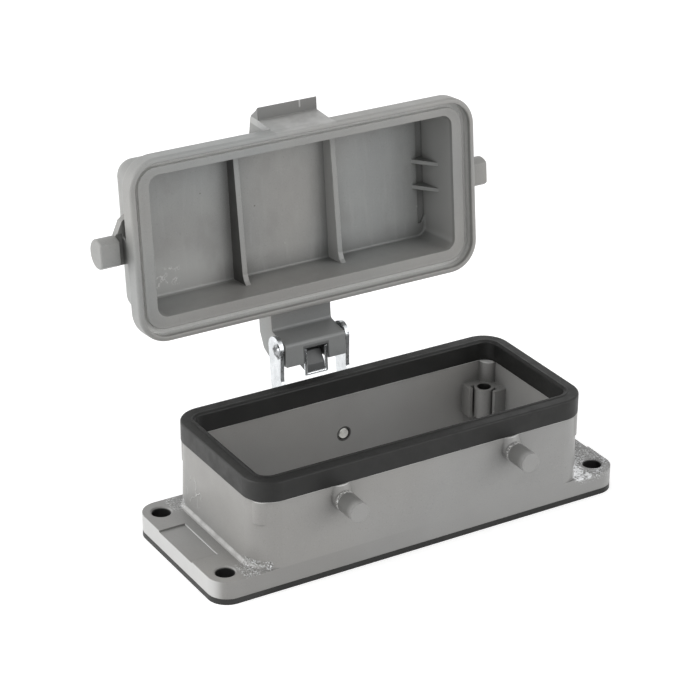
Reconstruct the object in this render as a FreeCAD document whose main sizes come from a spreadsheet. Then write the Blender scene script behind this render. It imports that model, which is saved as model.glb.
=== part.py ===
import FreeCAD, Part

import math
import os
import re

import Sketcher

# Bulkhead half of a heavy duty rectangular connector: a cast housing with a flange, and a moulded
# cover on a sheet metal hinge behind it. Millimetres. The origin is the centre of the panel hole
# pattern, on the underside of the flange gasket. X runs along the housing, the hinge is at +Y.
# The cover is drawn shut and then turned open about the hinge pin.

SIZES = [
    ("cavity_length", 85.4, "opening for the contact insert, along the housing"),
    ("cavity_width", 35.0, "opening for the contact insert, across the housing"),
    ("cavity_corner", 3.4, "corner radius of the opening"),
    ("end_wall", 2.6, "wall at the short ends, at the rim"),
    ("side_wall", 3.0, "wall at the long sides, at the rim"),
    ("wall_corner", 6.2, "outer corner radius of the walls, at the rim"),
    ("wall_spread", 0.5, "how far the walls lean out from rim to foot"),
    ("wall_height", 21.7, "flange to metal rim"),
    ("flange_ear", 10.2, "flange beyond the end walls"),
    ("flange_thick", 4.5, "flange thickness"),
    ("flange_corner", 5.0, "flange corner radius"),
    ("hole_inset_x", 4.5, "panel hole to flange end"),
    ("hole_inset_y", 5.0, "panel hole to flange side"),
    ("hole_bore", 4.5, "panel hole"),
    ("hole_break", 0.4, "broken edge of a panel hole"),
    ("recess_depth", 0.4, "shallow step in the flange between two holes"),
    ("recess_width", 16.5, "width of that step"),
    ("recess_reach", 6.8, "length of that step, from the flange end"),
    ("foot_bead", 0.8, "sloping foot of the end walls on the flange"),
    ("root_sink", 0.3, "how far a form is sunk into the wall it grows from"),
    ("cut_past", 1.0, "how far a cut runs past the face that it opens"),
    ("seal_thick", 1.5, "flange gasket thickness"),
    ("seal_margin", 0.8, "flange gasket opening beyond the cavity"),
    ("screw_inset_x", 3.95, "insert screw to the end of the cavity"),
    ("screw_inset_y", 4.0, "insert screw to the side of the cavity"),
    ("screw_bore", 3.3, "tapping hole for an insert screw"),
    ("boss_drop", 10.0, "insert bosses below the metal rim"),
    ("boss_height", 8.0, "height of an insert boss"),
    ("boss_column", 2.5, "radius of the column round a screw"),
    ("boss_rib", 1.0, "thickness of the two ribs beside the column"),
    ("boss_groove", 0.45, "column to the inner face of a rib"),
    ("rib_tip", 0.6, "tip of a rib beside the middle of the screw"),
    ("groove_floor", 2.0, "floor between rib and column beside the middle of the screw"),
    ("corner_column", 2.6, "radius of the corner column above a boss"),
    ("corner_inset", 0.45, "middle of that column in from the corner of the cavity"),
    ("peg_spacing", 47.0, "locking pegs on one long side"),
    ("peg_drop", 8.0, "locking pegs below the metal rim"),
    ("peg_bore", 5.0, "locking peg diameter"),
    ("peg_reach", 8.5, "locking peg beyond the rim's outer face"),
    ("web_top", 0.5, "web over a peg, out from the wall at its top"),
    ("web_reach", 3.2, "web over a peg, out from the wall at the peg"),
    ("rim_seal_out", 0.6, "rim gasket beyond the outer face of the rim"),
    ("rim_seal_in", 0.42, "rim gasket inside the cavity"),
    ("rim_seal_skirt", 4.2, "rim gasket down the wall"),
    ("skirt_gap", 0.2, "cast forms below the rim gasket's lower edge"),
    ("rim_seal_cap", 0.8, "rim gasket over the metal rim"),
    ("rim_seal_round", 0.48, "rounded top edges of the rim gasket"),
    ("rim_bead", 0.15, "raised line on the rim gasket"),
    ("rim_bead_width", 0.5, "width of that line"),
    ("rim_bead_inset", 0.45, "middle of that line outside the cavity"),
    ("seal_fit", 0.03, "gap between a gasket and the metal it wraps"),
    ("hinge_back", 12.5, "hinge axis behind the flange"),
    ("hinge_rise", 3.35, "hinge axis above the metal rim"),
    ("open_angle", 95.5, "how far the cover stands open"),
    ("sheet_thick", 1.05, "sheet of the hinge bracket"),
    ("plate_height", 10.5, "back plate of the bracket"),
    ("plate_margin", 0.6, "flat seat on the wall beside the back plate"),
    ("seat_margin", 0.8, "flat seat on the wall above the back plate"),
    ("plate_ledge", 6.5, "lower edge of an ear, out from the wall"),
    ("ear_heel_back", 0.6, "heel of an ear behind the middle of its top"),
    ("ear_heel_drop", 14.2, "heel of an ear below the hinge axis"),
    ("ear_bend_back", 1.75, "outer bend of an ear behind the middle of its top"),
    ("ear_bend_drop", 10.0, "outer bend of an ear below the hinge axis"),
    ("ear_neck_drop", 7.3, "inner bend of an ear below the hinge axis"),
    ("ear_neck_step", 3.4, "inner bend of an ear from the plate's top corner"),
    ("ear_rise", 0.2, "middle of an ear's round top above the hinge axis"),
    ("ear_bend_round", 2.5, "rounded bends of an ear"),
    ("ear_corner_round", 2.0, "rounded corners of an ear"),
    ("fold_radius", 0.5, "inner radius of a fold in the sheet"),
    ("rivet_drop", 15.0, "rivet below the metal rim"),
    ("rivet_shank", 3.2, "rivet shank"),
    ("rivet_head", 6.0, "rivet head"),
    ("rivet_end", 2.4, "flat end of the rivet inside the housing"),
    ("rivet_crown", 1.4, "height of the rivet's head"),
    ("rivet_shoulder", 1.4, "width of the rounded shoulder of that head"),
    ("rivet_edge", 0.6, "height of that head's edge"),
    ("ear_radius", 3.05, "rounded top of a bracket ear"),
    ("ear_offset", 1.2, "middle of an ear's top behind the pin"),
    ("ear_gap", 0.35, "play between knuckle and ear"),
    ("pin_bore", 2.4, "hinge pin diameter"),
    ("pin_seat", 0.02, "play round the pin in the ears"),
    ("pin_fit", 0.05, "play round the pin in the knuckle"),
    ("pin_head", 3.4, "formed head of the pin"),
    ("pin_head_thick", 0.4, "height of a formed head"),
    ("pin_head_edge", 0.1, "height of that head's edge"),
    ("pin_head_slope", 0.5, "width of its sloping shoulder"),
    ("lip_gap", 0.3, "cover lip outside the rim gasket, at the free side"),
    ("lip_end_gap", 0.5, "the same at the short ends"),
    ("swing_gap", 0.4, "the same at the hinge side, where the lip swings"),
    ("lip_thick", 1.35, "cover lip"),
    ("lip_drop", 0.9, "closed lip below the top of the rim gasket"),
    ("lip_depth", 1.7, "sealing land behind the lip's edge"),
    ("lip_round", 0.8, "rounded outer edge of the lip"),
    ("lip_break", 0.25, "broken inner edge of the lip"),
    ("groove_width", 1.4, "groove between the lip and the sealing land"),
    ("groove_depth", 1.2, "groove behind the sealing land"),
    ("cover_corner", 7.6, "outer corner radius of the cover"),
    ("land_ends", 4.3, "lip to hollow at the short ends"),
    ("land_front", 3.3, "lip to hollow at the free side"),
    ("land_back", 4.3, "lip to hollow at the hinge side"),
    ("band_depth", 5.2, "outer band of the cover"),
    ("band_round", 1.0, "rounded back edge of that band"),
    ("cover_wall", 1.7, "cover wall at the long sides"),
    ("cover_end_wall", 2.5, "cover wall at the short ends"),
    ("cover_depth", 15.5, "cover's inner panel behind the lip's edge"),
    ("cover_panel", 2.0, "cover's back panel"),
    ("shell_draft", 1.6, "draft of the cover's outer faces, degrees"),
    ("hollow_draft", 0.8, "draft of the cover's inner faces, degrees"),
    ("opening_corner", 2.8, "corner radius of the cover's hollow"),
    ("panel_round", 0.5, "fillet between the inner panel and the walls"),
    ("cover_round", 4.2, "rounded back edge of the cover"),
    ("rib_spacing", 27.2, "two ribs across the cover's hollow"),
    ("rib_thick", 1.4, "thickness of a cover rib"),
    ("rib_edge", 11.4, "free edge of a rib behind the lip's edge"),
    ("rib_slope", 0.7, "how much deeper or higher a rib runs at its ends"),
    ("rib_flare", 2.8, "flared end of a rib along the rib"),
    ("rib_flare_step", 1.2, "steep part of that flare"),
    ("rib_flare_rise", 2.0, "height of that flare"),
    ("channel_width", 2.1, "channel in the inner panel along each short end"),
    ("channel_depth", 0.8, "depth of that channel"),
    ("channel_front", 15.0, "channel towards the free side"),
    ("channel_back", 13.6, "channel towards the hinge side"),
    ("gusset_spacing", 6.8, "two gussets behind each trunnion"),
    ("gusset_thick", 1.0, "thickness of such a gusset"),
    ("gusset_edge", 7.7, "top of a gusset behind the lip's edge"),
    ("gusset_foot", 3.6, "gusset out from the end wall at the panel"),
    ("trunnion_reach", 6.6, "trunnion beyond the end of the cover"),
    ("trunnion_radius", 3.7, "trunnion, a round with one flat"),
    ("trunnion_flat", 2.6, "flat below the trunnion's centre"),
    ("trunnion_depth", 7.2, "trunnion centre behind the lip's edge"),
    ("trunnion_round", 0.5, "rounded edge of a trunnion's end"),
    ("slot_width", 1.65, "slot across a trunnion at its root"),
    ("slot_depth", 2.0, "depth of that slot below the flat"),
    ("web_length", 5.6, "web from the cover's end to the free side of a trunnion"),
    ("web_shoulder", 3.4, "part of that web beyond the band of the cover"),
    ("web_thick", 2.2, "thickness of that web"),
    ("tab_width", 16.4, "finger tab"),
    ("tab_reach", 4.25, "finger tab beyond the lip"),
    ("tab_root", 2.6, "front of the tab's root behind the lip's edge"),
    ("tab_face", 9.5, "front face of the hook behind the lip's edge"),
    ("tab_slope", 1.05, "lean of the tab's front up to the hook"),
    ("tab_edge", 0.8, "thin edge of the hook"),
    ("tab_back", 13.4, "back of the hook behind the lip's edge"),
    ("tab_back_reach", 1.35, "back of the hook beyond the lip"),
    ("tab_back_round", 2.2, "rounded back of the hook"),
    ("tab_end", 14.6, "end of the tab's root behind the lip's edge"),
    ("tab_sink", 0.8, "root of tab and arm inside the shell's wall"),
    ("arm_root", 4.5, "front of the hinge arm behind the lip's edge"),
    ("arm_shelf", 4.6, "shelf of the arm behind the hinge axis"),
    ("arm_front", 3.4, "end of that shelf from the hinge axis"),
    ("knuckle_front", 1.7, "front of the knuckle from the hinge axis"),
    ("knuckle_drop", 2.3, "outer face of the knuckle from the hinge axis"),
    ("knuckle_back", 4.1, "back of the knuckle from the hinge axis"),
    ("arm_heel", 6.3, "where the arm's back starts to slope"),
    ("arm_waist", 9.3, "where that slope turns"),
    ("arm_back", 11.0, "back of the arm behind the hinge axis"),
    ("arm_back_round", 1.5, "rounded back of the arm"),
    ("arm_corner_round", 0.9, "rounded front corners of the knuckle"),
    ("knuckle_width", 17.0, "hinge arm and knuckle"),
    ("window_width", 6.8, "window in the knuckle"),
    ("window_edge", 0.2, "edge of the window beyond the hinge axis"),
    ("window_depth", 3.9, "depth of that window"),
    ("tongue_width", 5.0, "tongue inside the window"),
    ("tongue_reach", 6.8, "tongue behind the hinge axis"),
    ("tongue_tip", 1.7, "thickness of the tongue at its end"),
    ("tongue_drop", 1.9, "front of the tongue's end from the hinge axis"),
    ("tongue_root", 2.0, "root of the tongue behind the pin"),
    ("tongue_bend", 5.0, "where the tongue's front turns straight"),
    ("tongue_back", 7.0, "back of the tongue's root"),
    ("wire", 0.8, "wire of the hinge spring"),
    ("wire_fit", 0.05, "play between the wire and what it lies on"),
]

# Places worked out from the sizes above
PLACES = {
    "rim_length": "cavity_length + 2 * end_wall",
    "rim_width": "cavity_width + 2 * side_wall",
    "foot_length": "rim_length + 2 * wall_spread",
    "foot_width": "rim_width + 2 * wall_spread",
    "flange_length": "foot_length + 2 * flange_ear",
    "flange_back": "foot_width / 2",
    "flange_top": "seal_thick + flange_thick",
    "rim_top": "flange_top + wall_height",
    "hole_x": "flange_length / 2 - hole_inset_x",
    "hole_y": "foot_width / 2 - hole_inset_y",
    "screw_x": "cavity_length / 2 - screw_inset_x",
    "screw_y": "cavity_width / 2 - screw_inset_y",
    "boss_top": "rim_top - boss_drop",
    "rib_inside": "boss_column + boss_groove",
    "boss_reach": "rib_inside + boss_rib",
    "skirt_foot": "rim_top - rim_seal_skirt",
    "column_top": "skirt_foot - skirt_gap",
    "seal_top": "rim_top + rim_seal_cap",
    "seal_length": "rim_length + 2 * rim_seal_out",
    "seal_width": "rim_width + 2 * rim_seal_out",
    "skirt_lean": "wall_spread * rim_seal_skirt / wall_height + seal_fit",
    "hinge_y": "flange_back + hinge_back",
    "hinge_z": "rim_top + hinge_rise",
    "rivet_z": "rim_top - rivet_drop",
    "ear_y": "hinge_y + ear_offset",
    "ear_top": "hinge_z + ear_radius + ear_rise",
    "ear_inside": "knuckle_width / 2 + ear_gap",
    "ear_outside": "ear_inside + sheet_thick",
    "lip_z": "seal_top - lip_drop",
    "lip_front": "seal_width / 2 + lip_gap",
    "lip_back": "seal_width / 2 + swing_gap",
    "lip_middle": "(lip_back - lip_front) / 2",
    "recess_length": "seal_length + 2 * lip_end_gap",
    "recess_across": "lip_front + lip_back",
    "cover_length": "recess_length + 2 * lip_thick",
    "cover_width": "recess_across + 2 * lip_thick",
    "opening_length": "recess_length - 2 * land_ends",
    "opening_width": "recess_across - land_front - land_back",
    "opening_middle": "lip_middle + (land_front - land_back) / 2",
    "shell_length": "opening_length + 2 * cover_end_wall",
    "shell_width": "opening_width + 2 * cover_wall",
    "band_back": "lip_z + band_depth",
    "panel_z": "lip_z + cover_depth",
    "cover_top": "panel_z + cover_panel",
    "trunnion_z": "lip_z + trunnion_depth",
    "trunnion_end": "cover_length / 2 + trunnion_reach",
    "knuckle_face": "hinge_z - knuckle_drop",
}
# How near two lengths count as the same, and the least length of a fold or arm edge
SAME = 0.01
LONG_EDGE = 5.0
NAMED = {name for name, size, note in SIZES}
WORD = re.compile(r"[a-z_]+[a-z_0-9]*")

document = FreeCAD.newDocument("connector_housing")
sheet = document.addObject("Spreadsheet::Sheet", "sizes")
for row, (name, size, note) in enumerate(SIZES, start=1):
    sheet.set(f"A{row}", note)
    sheet.set(f"B{row}", str(size))
    sheet.setAlias(f"B{row}", name)
document.recompute()


def formula(text):
    """A formula in plain names, turned into one that reads the sheet."""
    def read(found):
        word = found.group()
        if word in PLACES:
            return f"({formula(PLACES[word])})"
        if word in NAMED:
            return f"sizes.{word}"
        return word
    return WORD.sub(read, str(text))


def number(text):
    """The value of a formula with the sheet's present sizes."""
    return float(sheet.evalExpression(formula(text)))


def new_body(name):
    """An empty body whose label names its file."""
    body = document.addObject("PartDesign::Body", name)
    body.Label = name
    return body


def origin_plane(body, role):
    """One of the body's own three planes."""
    return next(feature for feature in body.Origin.OriginFeatures if feature.Role == role)


def new_sketch(body, name, role, offset="0"):
    """A sketch on an origin plane, moved along the plane's normal."""
    sketch = body.newObject("Sketcher::SketchObject", name)
    sketch.AttachmentSupport = [(origin_plane(body, role), "")]
    sketch.MapMode = "FlatFace"
    sketch.setExpression("AttachmentOffset.Base.z", formula(offset))
    return sketch


def bind(sketch, constraint, name, text):
    """Add a constraint and let a formula set its value."""
    index = sketch.addConstraint(constraint)
    sketch.renameConstraint(index, name)
    sketch.setExpression(f"Constraints.{name}", formula(text))


def hold_point(sketch, geometry, point, name, place):
    """Fix a point of a sketch at a place given as two formulas."""
    across, along = place
    bind(sketch, Sketcher.Constraint("DistanceX", geometry, point, number(across)), f"{name}_x", across)
    bind(sketch, Sketcher.Constraint("DistanceY", geometry, point, number(along)), f"{name}_y", along)


def draw_outline(sketch, corners, close=True):
    """Straight lines through corners given as pairs of formulas."""
    first = sketch.GeometryCount
    points = [FreeCAD.Vector(number(across), number(along), 0) for across, along in corners]
    count = len(points) if close else len(points) - 1
    for index in range(count):
        sketch.addGeometry(Part.LineSegment(points[index], points[(index + 1) % len(points)]), False)
    for index in range(count):
        line = first + index
        if index + 1 < count:
            sketch.addConstraint(Sketcher.Constraint("Coincident", line, 2, line + 1, 1))
        elif close:
            sketch.addConstraint(Sketcher.Constraint("Coincident", line, 2, first, 1))
        hold_point(sketch, line, 1, f"corner_{line}", corners[index])
    if not close:
        hold_point(sketch, first + count - 1, 2, f"end_{first}", corners[-1])


def draw_circle(sketch, place, radius):
    """A circle at a place given as two formulas."""
    centre = FreeCAD.Vector(number(place[0]), number(place[1]), 0)
    circle = sketch.addGeometry(Part.Circle(centre, FreeCAD.Vector(0, 0, 1), number(radius)), False)
    hold_point(sketch, circle, 3, f"centre_{circle}", place)
    bind(sketch, Sketcher.Constraint("Radius", circle, number(radius)), f"radius_{circle}", radius)


def draw_rounded(sketch, length, width, radius, shift="0"):
    """A rounded rectangle, centred across and shifted along the sketch's second axis."""
    first = sketch.GeometryCount
    reach_x, reach_y = number(f"({length}) / 2"), number(f"({width}) / 2")
    middle, corner = number(shift), number(radius)
    left, right = -reach_x, reach_x
    low, high = middle - reach_y, middle + reach_y
    up = FreeCAD.Vector(0, 0, 1)
    quarter = math.pi / 2
    stops = [
        ((left + corner, low), (right - corner, low), (right - corner, low + corner), -quarter),
        ((right, low + corner), (right, high - corner), (right - corner, high - corner), 0.0),
        ((right - corner, high), (left + corner, high), (left + corner, high - corner), quarter),
        ((left, high - corner), (left, low + corner), (left + corner, low + corner), 2 * quarter),
    ]
    for start, end, centre, angle in stops:
        sketch.addGeometry(Part.LineSegment(FreeCAD.Vector(*start, 0), FreeCAD.Vector(*end, 0)), False)
        circle = Part.Circle(FreeCAD.Vector(*centre, 0), up, corner)
        sketch.addGeometry(Part.ArcOfCircle(circle, angle, angle + quarter), False)
    for index in range(8):
        after = first + (index + 1) % 8
        sketch.addConstraint(Sketcher.Constraint("Tangent", first + index, 2, after, 1))
    for index, kind in enumerate(("Horizontal", "Vertical", "Horizontal", "Vertical")):
        sketch.addConstraint(Sketcher.Constraint(kind, first + 2 * index))
    for index in (3, 5, 7):
        sketch.addConstraint(Sketcher.Constraint("Equal", first + 1, first + index))
    bind(sketch, Sketcher.Constraint("Radius", first + 1, corner), f"radius_{first}", radius)
    bind(sketch, Sketcher.Constraint("DistanceX", first + 2, 1, right), f"right_{first}", f"({length}) / 2")
    bind(sketch, Sketcher.Constraint("DistanceX", first + 6, 1, left), f"left_{first}", f"-({length}) / 2")
    bind(sketch, Sketcher.Constraint("DistanceY", first, 1, low), f"low_{first}",
         f"({shift}) - ({width}) / 2")
    bind(sketch, Sketcher.Constraint("DistanceY", first + 4, 1, high), f"high_{first}",
         f"({shift}) + ({width}) / 2")


def extrude(body, sketch, length, kind="Pad", both=False, back=False, draft="0"):
    """Pad or pocket a sketch by a bound length."""
    feature = body.newObject(f"PartDesign::{kind}", f"{sketch.Name}_{kind.lower()}")
    feature.Profile = sketch
    feature.setExpression("Length", formula(length))
    feature.setExpression("TaperAngle", formula(draft))
    feature.Reversed = back
    if both:
        feature.SideType = "Symmetric"
    before = volume(body.Tip) if body.Tip else 0.0
    document.recompute()
    change = feature.Shape.Volume - before
    assert change > 0 if kind == "Pad" else change < 0 or not before, feature.Name
    sketch.Visibility = False
    return feature


def volume(feature):
    """Volume of a feature, or nothing for one that has no solid yet."""
    return 0.0 if feature.Shape.isNull() else feature.Shape.Volume


def revolve(body, sketch, axis):
    """Turn a half profile once round an axis of its own sketch."""
    feature = body.newObject("PartDesign::Revolution", f"{sketch.Name}_turned")
    feature.Profile = sketch
    feature.ReferenceAxis = (sketch, [axis])
    feature.Angle = 360.0
    document.recompute()
    return feature


def mirror(body, features, roles):
    """Repeat features on the other side of one or two of the body's planes."""
    if len(roles) == 1:
        mirrored = body.newObject("PartDesign::Mirrored", f"{features[-1].Name}_mirrored")
        mirrored.Originals = features
        mirrored.MirrorPlane = (origin_plane(body, roles[0]), [""])
        body.Tip = mirrored
        document.recompute()
        return mirrored
    group = body.newObject("PartDesign::MultiTransform", f"{features[-1].Name}_corners")
    group.Originals = features
    steps = []
    for role in roles:
        step = body.newObject("PartDesign::Mirrored", f"{features[-1].Name}_{role[:2].lower()}")
        step.MirrorPlane = (origin_plane(body, role), [""])
        steps.append(step)
    group.Transformations = steps
    body.Tip = group
    document.recompute()
    return group


def dress(body, kind, name, edges, radius):
    """Fillet or chamfer the chosen edges of the body as it stands."""
    base = body.Tip
    feature = body.newObject(f"PartDesign::{kind}", name)
    feature.Base = (base, edges)
    feature.setExpression("Radius" if kind == "Fillet" else "Size", formula(radius))
    document.recompute()
    return feature


def edges_where(body, test):
    """Names of the body's edges whose box passes a test."""
    return [f"Edge{index}" for index, edge in enumerate(body.Tip.Shape.Edges, start=1)
            if test(edge.BoundBox, edge)]


def near(first, second):
    """Whether two lengths are the same within a hundredth."""
    return abs(first - second) < SAME


def edges_through(body, places):
    """Long edges parallel to X at the given places of the YZ plane."""
    spots = [(number(across), number(high)) for across, high in places]

    def test(box, edge):
        if box.XLength < LONG_EDGE or box.YLength > SAME or box.ZLength > SAME:
            return False
        return any(near(box.YMin, y) and near(box.ZMin, z) for y, z in spots)
    return edges_where(body, test)


def flat_loop(body, high):
    """All edges that lie flat at one height."""
    level = number(high)
    return edges_where(body, lambda box, edge: near(box.ZMin, level) and near(box.ZMax, level))


def place(body, across, along, up):
    """Set a body's place from formulas."""
    body.setExpression(".Placement.Base.x", formula(across))
    body.setExpression(".Placement.Base.y", formula(along))
    body.setExpression(".Placement.Base.z", formula(up))


def corners_of(across, along):
    """The four mirrored places of one point."""
    return [(f"{side_x}({across})", f"{side_y}({along})") for side_x in ("", "-") for side_y in ("", "-")]


def make_housing():
    """One casting: flange, drafted walls, insert bosses, pegs and the seat of the hinge bracket."""
    body = new_body("housing")

    flange = new_sketch(body, "flange", "XY_Plane", "seal_thick")
    draw_rounded(flange, "flange_length", "foot_width", "flange_corner")
    extrude(body, flange, "flange_thick")

    walls = new_sketch(body, "walls", "XY_Plane", "flange_top")
    draw_rounded(walls, "foot_length", "foot_width", "wall_corner + wall_spread")
    extrude(body, walls, "wall_height", draft="-atan(wall_spread / wall_height)")

    foot = new_sketch(body, "wall_foot", "XY_Plane", "flange_top")
    draw_rounded(foot, "foot_length + 2 * foot_bead", "foot_width", "wall_corner + wall_spread + foot_bead")
    extrude(body, foot, "foot_bead", draft="-45")

    seat = new_sketch(body, "bracket_seat", "XY_Plane", "flange_top")
    draw_outline(seat, [
        ("-ear_outside - plate_margin", "flange_back - side_wall"),
        ("ear_outside + plate_margin", "flange_back - side_wall"),
        ("ear_outside + plate_margin", "flange_back"), ("-ear_outside - plate_margin", "flange_back"),
    ])
    extrude(body, seat, "rivet_z + plate_height / 2 + seat_margin - flange_top")

    pegs(body)

    cavity = new_sketch(body, "cavity", "XY_Plane")
    draw_rounded(cavity, "cavity_length", "cavity_width", "cavity_corner")
    extrude(body, cavity, "rim_top + cut_past", "Pocket", back=True)

    insert_bosses(body)

    recess = new_sketch(body, "flange_step", "XY_Plane", "flange_top - recess_depth")
    for side in ("", "-"):
        draw_outline(recess, [
            (f"{side}(flange_length / 2 - recess_reach)", "-recess_width / 2"),
            (f"{side}(flange_length / 2 + cut_past)", "-recess_width / 2"),
            (f"{side}(flange_length / 2 + cut_past)", "recess_width / 2"),
            (f"{side}(flange_length / 2 - recess_reach)", "recess_width / 2"),
        ])
    extrude(body, recess, "recess_depth + cut_past", "Pocket", back=True)

    holes = new_sketch(body, "panel_holes", "XY_Plane")
    for spot in corners_of("hole_x", "hole_y"):
        draw_circle(holes, spot, "hole_bore / 2")
    extrude(body, holes, "flange_top + cut_past", "Pocket", back=True)
    rims = edges_where(body, lambda box, edge: near(box.XLength, number("hole_bore"))
                       and near(box.YLength, number("hole_bore")) and near(box.ZMax, number("flange_top")))
    dress(body, "Chamfer", "hole_breaks", rims, "hole_break")

    bore = new_sketch(body, "rivet_bore", "XZ_Plane", "-flange_back - cut_past")
    draw_circle(bore, ("0", "rivet_z"), "rivet_shank / 2 + seal_fit")
    extrude(body, bore, "side_wall + wall_spread + 2 * cut_past", "Pocket", back=True)
    return body


def pegs(body):
    """Four locking pegs, each under a crowned web that slopes down from the foot of the rim gasket."""
    root = "(rim_width / 2 - root_sink)"
    peg_z = "rim_top - peg_drop"
    half = "(peg_bore / 2)"
    sketches = []
    for name, high, reach in (("web_top_section", "column_top", "web_top"),
                              ("web_peg_section", peg_z, "web_reach")):
        sketch = new_sketch(body, name, "XY_Plane", high)
        deep = f"({reach} + wall_spread)"
        ends = [(f"peg_spacing / 2 - {half}", f"-{root}"), (f"peg_spacing / 2 + {half}", f"-{root}")]
        crest = ("peg_spacing / 2", f"-({root} + {deep})")
        points = [FreeCAD.Vector(number(across), number(along), 0) for across, along in (*ends, crest)]
        sketch.addGeometry(Part.LineSegment(points[1], points[0]), False)
        sketch.addGeometry(Part.Arc(points[0], points[2], points[1]), False)
        arc_starts_left = sketch.getPoint(1, 1).distanceToPoint(points[0]) < SAME
        left, right = (1, 2) if arc_starts_left else (2, 1)
        sketch.addConstraint(Sketcher.Constraint("Coincident", 0, 2, 1, left))
        sketch.addConstraint(Sketcher.Constraint("Coincident", 0, 1, 1, right))
        hold_point(sketch, 0, 2, "left", ends[0])
        hold_point(sketch, 0, 1, "right", ends[1])
        middle = f"({half}^2 - {deep}^2) / (2 * {deep}) - {root}"
        bind(sketch, Sketcher.Constraint("DistanceY", 1, 3, number(middle)), "middle", middle)
        sketches.append(sketch)
    web = body.newObject("PartDesign::AdditiveLoft", "peg_web")
    web.Profile = sketches[0]
    web.Sections = [sketches[1]]
    web.Ruled = True
    document.recompute()

    peg = new_sketch(body, "peg", "XZ_Plane", root)
    draw_circle(peg, ("peg_spacing / 2", peg_z), "peg_bore / 2")
    shaft = extrude(body, peg, "peg_reach + root_sink")
    mirror(body, [web, shaft], ["YZ_Plane", "XZ_Plane"])


def insert_bosses(body):
    """Four screw bosses in the corners of the cavity, each a column between two short ribs."""
    wall_x, wall_y = "(cavity_length / 2 + root_sink)", "(cavity_width / 2 + root_sink)"
    sketch = new_sketch(body, "boss", "XY_Plane", "boss_top - boss_height")
    meets = "sqrt(boss_column^2 - groove_floor^2)"
    corners = [
        ("screw_x + groove_floor", f"screw_y - {meets}"),
        ("screw_x + groove_floor", "screw_y - rib_inside"),
        ("screw_x + rib_tip", "screw_y - rib_inside"),
        ("screw_x + rib_tip", "screw_y - boss_reach"),
        (wall_x, "screw_y - boss_reach"),
        (wall_x, wall_y),
        ("screw_x - boss_reach", wall_y),
        ("screw_x - boss_reach", "screw_y + rib_tip"),
        ("screw_x - rib_inside", "screw_y + rib_tip"),
        ("screw_x - rib_inside", "screw_y + groove_floor"),
        (f"screw_x - {meets}", "screw_y + groove_floor"),
    ]
    draw_outline(sketch, corners, close=False)
    start = FreeCAD.Vector(number(corners[0][0]), number(corners[0][1]), 0)
    end = FreeCAD.Vector(number(corners[-1][0]), number(corners[-1][1]), 0)
    lean = math.sqrt(0.5) * number("boss_column")
    middle = FreeCAD.Vector(number("screw_x") - lean, number("screw_y") - lean, 0)
    arc = sketch.addGeometry(Part.Arc(end, middle, start), False)
    starts_at_end = sketch.getPoint(arc, 1).distanceToPoint(end) < SAME
    near_end, near_start = (1, 2) if starts_at_end else (2, 1)
    sketch.addConstraint(Sketcher.Constraint("Coincident", arc, near_end, arc - 1, 2))
    sketch.addConstraint(Sketcher.Constraint("Coincident", arc, near_start, 0, 1))
    bind(sketch, Sketcher.Constraint("Radius", arc, number("boss_column")), "column", "boss_column")
    boss = extrude(body, sketch, "boss_height")

    corner = new_sketch(body, "corner_column", "XY_Plane", "boss_top - root_sink")
    draw_circle(corner, ("cavity_length / 2 - corner_inset", "cavity_width / 2 - corner_inset"),
                "corner_column")
    column = extrude(body, corner, "column_top - boss_top + root_sink")
    mirror(body, [boss, column], ["YZ_Plane", "XZ_Plane"])

    screws = new_sketch(body, "screw_bores", "XY_Plane", "boss_top - boss_height - cut_past")
    for spot in corners_of("screw_x", "screw_y"):
        draw_circle(screws, spot, "screw_bore / 2")
    extrude(body, screws, "boss_height + 2 * cut_past", "Pocket", back=True)


def make_panel_gasket():
    """Flat gasket between flange and panel, with the flange's outline and holes."""
    body = new_body("panel_gasket")
    outline = new_sketch(body, "gasket_outline", "XY_Plane")
    draw_rounded(outline, "flange_length", "foot_width", "flange_corner")
    draw_rounded(outline, "cavity_length + 2 * seal_margin", "cavity_width + 2 * seal_margin",
                 "cavity_corner + seal_margin")
    for spot in corners_of("hole_x", "hole_y"):
        draw_circle(outline, spot, "hole_bore / 2")
    extrude(body, outline, "seal_thick")
    return body


def make_rim_gasket():
    """Rubber channel pushed over the metal rim, with a fine raised line on top."""
    body = new_body("rim_gasket")
    ring = new_sketch(body, "gasket_ring", "XY_Plane", "skirt_foot")
    draw_rounded(ring, "seal_length", "seal_width", "wall_corner + rim_seal_out")
    draw_rounded(ring, "cavity_length - 2 * rim_seal_in", "cavity_width - 2 * rim_seal_in",
                 "cavity_corner - rim_seal_in")
    extrude(body, ring, "rim_seal_skirt + rim_seal_cap")
    dress(body, "Fillet", "gasket_edges", flat_loop(body, "seal_top"), "rim_seal_round")

    channel = new_sketch(body, "gasket_channel", "XY_Plane", "skirt_foot")
    draw_rounded(channel, "rim_length + 2 * skirt_lean", "rim_width + 2 * skirt_lean",
                 "wall_corner + skirt_lean")
    draw_rounded(channel, "cavity_length - 2 * seal_fit", "cavity_width - 2 * seal_fit",
                 "cavity_corner - seal_fit")
    extrude(body, channel, "rim_seal_skirt", "Pocket", back=True)

    bead = new_sketch(body, "gasket_bead", "XY_Plane", "seal_top - root_sink")
    for side in ("+", "-"):
        out = f"(rim_bead_inset {side} rim_bead_width / 2)"
        draw_rounded(bead, f"cavity_length + 2 * {out}", f"cavity_width + 2 * {out}",
                     f"cavity_corner + {out}")
    extrude(body, bead, "rim_bead + root_sink")
    return body


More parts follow.
